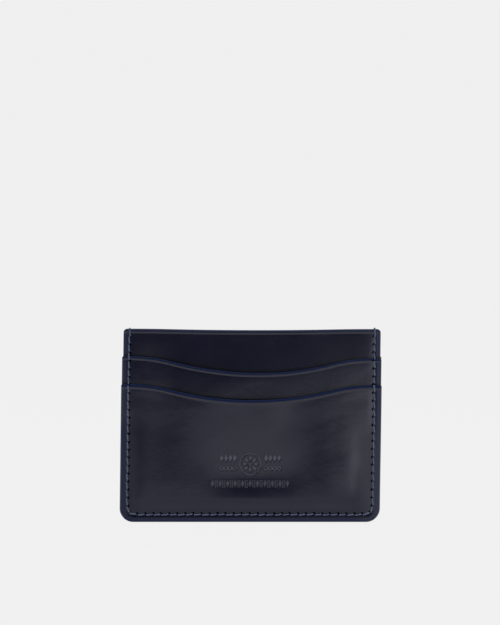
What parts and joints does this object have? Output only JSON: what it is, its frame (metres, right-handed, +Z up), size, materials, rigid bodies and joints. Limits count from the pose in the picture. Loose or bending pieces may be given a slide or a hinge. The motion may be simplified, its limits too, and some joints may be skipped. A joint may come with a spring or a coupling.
{
  "type": "card holder",
  "caption": "Slim upright leather card holder, sewn round three sides, with curved overlapping card slots on both faces and an open-topped middle pocket.",
  "frame": {"origin": "middle of the bottom edge, midway between the front and the back", "axes": "+X to the right as seen from the front, -Y out of the front, +Z up to the open top"},
  "size_m": [0.1018, 0.0106, 0.0762],
  "materials": {
    "leather": "polished, with burnished edges",
    "thread": "waxed"
  },
  "bodies": {
    "root": {"front_wall": "leather", "front_upper_pocket": "leather", "front_lower_pocket": "leather", "back_wall": "leather", "back_upper_pocket": "leather", "back_lower_pocket": "leather", "seam_thread_a": "thread", "seam_thread_b": "thread", "front_base_thread_a": "thread", "front_base_thread_b": "thread", "back_base_thread_a": "thread", "back_base_thread_b": "thread"}
  },
  "joints": []
}
